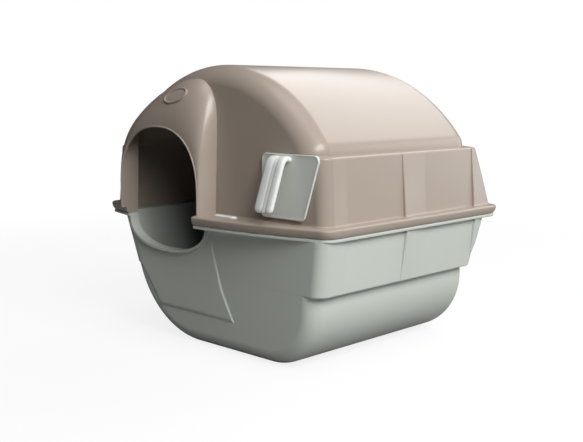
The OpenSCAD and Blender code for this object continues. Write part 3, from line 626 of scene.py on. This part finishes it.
taupe = plastic("warmGreyPlastic", {"colour": (0.40, 0.335, 0.285), "mottle": 0.035, "mottleScale": 6,
                                    "roughness": 0.28, "scuff": 0.03, "bump": 0.10, "grainScale": 700})
sage = plastic("greyGreenPlastic", {"colour": (0.595, 0.635, 0.58), "mottle": 0.03, "mottleScale": 6,
                                    "roughness": 0.3, "scuff": 0.03, "bump": 0.10, "grainScale": 700})
pale = plastic("offWhitePlastic", {"colour": (0.88, 0.9, 0.88), "mottle": 0.02, "mottleScale": 9,
                                   "roughness": 0.26, "scuff": 0.03, "bump": 0.08, "grainScale": 800})
lightSage = plastic("lightGreyGreenPlastic", {
    "colour": (0.70, 0.735, 0.68), "mottle": 0.03, "mottleScale": 8, "roughness": 0.28, "scuff": 0.03,
    "bump": 0.08, "grainScale": 800})
pinSteel = plastic("drawnSteel", {"colour": (0.55, 0.55, 0.57), "mottle": 0.05, "mottleScale": 60,
                                  "metallic": 1, "roughness": 0.3, "scuff": 0.2, "bump": 0.15,
                                  "grainScale": 1500})


def dress(piece, material):
    piece.data.materials.clear()
    piece.data.materials.append(material)


finishes = [(taupe, [upperSkin, oval], ["grille_rail_front", "grille_rail_rear", "tray_guide"]),
            (sage, [lowerSkin], ["filter_grille", "waste_tray"]),
            (lightSage, [trayPlate], []),
            (pale, gripBars + [rimPad], ["latch_left_front", "latch_left_rear", "latch_rear"]),
            (pinSteel, [], ["latch_pin_left_front", "latch_pin_left_rear", "latch_pin_rear"])]
for material, pieces, names in finishes:
    for piece in pieces + [nodes[name] for name in names]:
        dress(piece, material)
print("materials set")

# Pale floor that keeps a soft shadow, white surround and soft light from the right and above
stage = {"size": 60, "seenColour": (0.97, 0.97, 0.97, 1), "litColour": (0.26, 0.26, 0.255, 1), "glow": 0.84,
         "fade": (0.7, 1.7), "roughness": 0.9, "gloss": 0.1, "surround": 0.02}
white = (1, 1, 1, 1)


def cameraMix(tree, factor, other, seen):  # one shader for light, another for what the camera sees
    path = tree.nodes.new("ShaderNodeLightPath")
    share = tree.nodes.new("ShaderNodeMath")
    share.operation = "MULTIPLY"
    share.inputs[1].default_value = 1
    if factor:
        tree.links.new(factor, share.inputs[1])
    blend = tree.nodes.new("ShaderNodeMixShader")
    tree.links.new(path.outputs["Is Camera Ray"], share.inputs[0])
    tree.links.new(share.outputs[0], blend.inputs[0])
    tree.links.new(other, blend.inputs[1])
    tree.links.new(seen, blend.inputs[2])
    return path, blend


def makeFloor():  # glows more with distance, so that its far edge meets the white surround
    h = stage["size"] / 2
    mesh = bpy.data.meshes.new("floor")
    mesh.from_pydata([(-h, -h, 0), (h, -h, 0), (h, h, 0), (-h, h, 0)], [], [(0, 1, 2, 3)])
    floor = bpy.data.objects.new("floor", mesh)
    bpy.context.scene.collection.objects.link(floor)
    material = bpy.data.materials.new("paleFloor")
    material.use_nodes = True
    tree = material.node_tree
    shader = tree.nodes["Principled BSDF"]
    shader.inputs["Roughness"].default_value = stage["roughness"]
    shader.inputs["Specular IOR Level"].default_value = stage["gloss"]
    glow = tree.nodes.new("ShaderNodeEmission")
    glow.inputs["Color"].default_value = white
    place = tree.nodes.new("ShaderNodeTexCoord")
    away = tree.nodes.new("ShaderNodeVectorMath")
    away.operation = "LENGTH"
    tree.links.new(place.outputs["Object"], away.inputs[0])
    fade = tree.nodes.new("ShaderNodeMapRange")
    fade.interpolation_type = "SMOOTHSTEP"
    fade.inputs["From Min"].default_value, fade.inputs["From Max"].default_value = stage["fade"]
    fade.inputs["To Min"].default_value = stage["glow"]
    tree.links.new(away.outputs["Value"], fade.inputs["Value"])
    path, blend = cameraMix(tree, fade.outputs["Result"], shader.outputs[0], glow.outputs[0])
    colour = tree.nodes.new("ShaderNodeMix")
    colour.data_type = "RGBA"
    colour.inputs["A"].default_value = stage["litColour"]
    colour.inputs["B"].default_value = stage["seenColour"]
    tree.links.new(path.outputs["Is Camera Ray"], colour.inputs["Factor"])
    tree.links.new(colour.outputs["Result"], shader.inputs["Base Color"])
    tree.links.new(blend.outputs[0], tree.nodes["Material Output"].inputs["Surface"])
    dress(floor, material)


def makeSurround():
    world = bpy.data.worlds.new("surround")
    bpy.context.scene.world = world
    world.use_nodes = True
    tree = world.node_tree
    soft = tree.nodes["Background"]
    soft.inputs["Color"].default_value = white
    soft.inputs["Strength"].default_value = stage["surround"]
    seen = tree.nodes.new("ShaderNodeBackground")
    seen.inputs["Color"].default_value = white
    blend = cameraMix(tree, None, soft.outputs[0], seen.outputs[0])[1]
    tree.links.new(blend.outputs[0], tree.nodes["World Output"].inputs["Surface"])


# Each lamp has its place in metres, its width and height, and its power in watts
lamps = {"key": ((2.35, -0.4, 2.05), 1.6, 1.6, 67), "overhead": ((0.2, -0.6, 2.9), 1.6, 1.6, 14),
         "rearSheen": ((-0.3, 2.1, 2.1), 3.2, 1.4, 39), "rearCard": ((1.25, 2.6, 0.62), 1.5, 1.5, 18),
         "hoodCard": ((1.9, -1.2, 1.5), 1.0, 1.0, 19)}
lampTarget = Vector((0, 0, 0.2))


def softLamp(name, place, width, height, power):
    lamp = bpy.data.lights.new(name, "AREA")
    lamp.shape = "RECTANGLE"
    lamp.size = width
    lamp.size_y = height
    lamp.energy = power
    holder = bpy.data.objects.new(name, lamp)
    holder.location = place
    holder.rotation_euler = (lampTarget - Vector(place)).to_track_quat("-Z", "Y").to_euler()
    bpy.context.scene.collection.objects.link(holder)


makeFloor()
makeSurround()
for name, values in lamps.items():
    softLamp(name, *values)

# The camera stands where the photograph was taken from
view = {"place": (0.99771, -1.03973, 0.36988), "tilt": 82.065, "turn": 44.408, "lens": 56.43, "sensor": 36,
        "nearest": 0.05}
cameraData = bpy.data.cameras.new("view")
camera = bpy.data.objects.new("view", cameraData)
bpy.context.scene.collection.objects.link(camera)
camera.location = view["place"]
camera.rotation_euler = (math.radians(view["tilt"]), 0, math.radians(view["turn"]))
cameraData.lens = view["lens"]
cameraData.sensor_width = view["sensor"]
cameraData.clip_start = view["nearest"]
bpy.context.scene.camera = camera
bpy.context.scene.view_settings.view_transform = "Standard"
print("stage and camera set")
